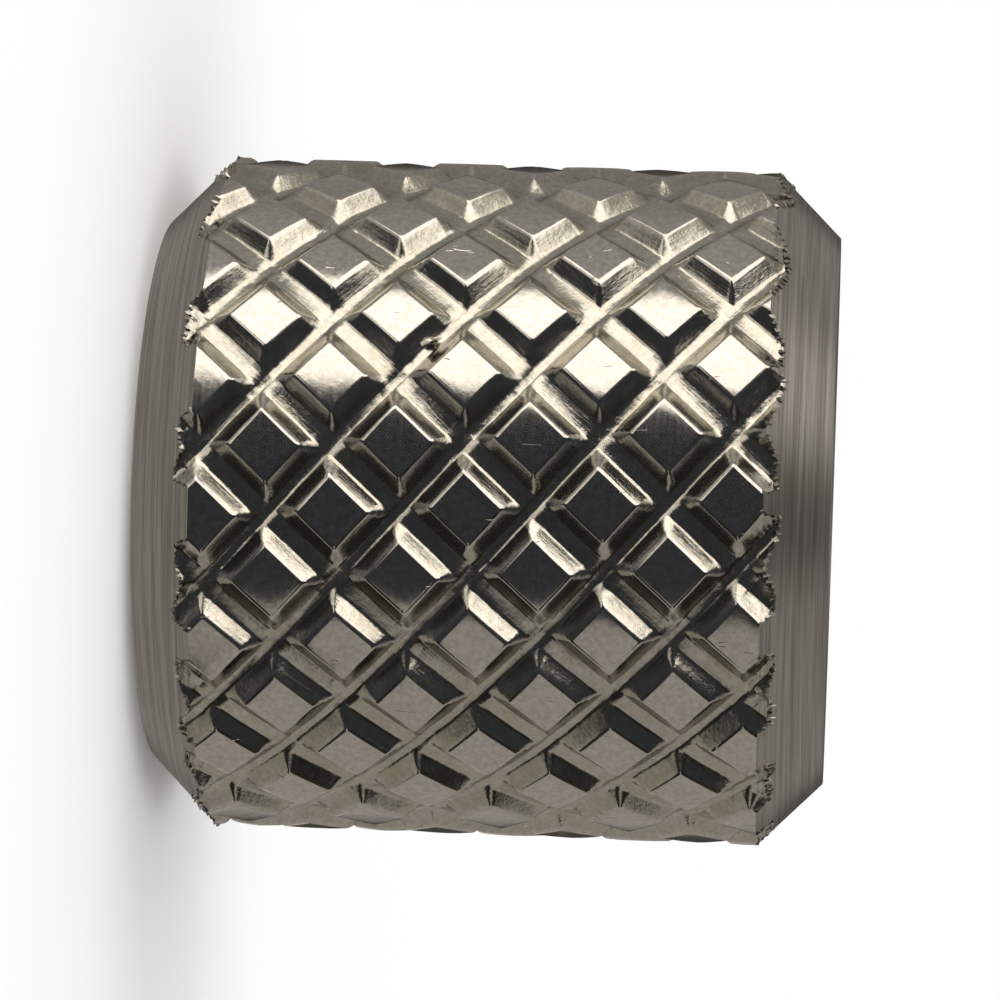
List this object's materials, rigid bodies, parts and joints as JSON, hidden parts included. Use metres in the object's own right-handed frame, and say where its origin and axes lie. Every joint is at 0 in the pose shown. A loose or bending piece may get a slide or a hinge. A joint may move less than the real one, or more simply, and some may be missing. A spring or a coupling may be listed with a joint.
{
  "type": "knurled thumb nut",
  "caption": "Cylindrical stainless thumb nut with a coarse flat-topped diamond knurl, bevelled ends and a threaded through hole.",
  "frame": {"origin": "centre of the lower end face", "axes": "+Z along the nut's axis, from the end face it stands on to the other; +X and +Y square to it"},
  "size_m": [0.019, 0.019, 0.0189],
  "materials": {
    "steel": "turned and milled stainless steel, satin, with dull residue in the grooves"
  },
  "bodies": {
    "root": {"thumb_nut": "steel"}
  },
  "joints": []
}
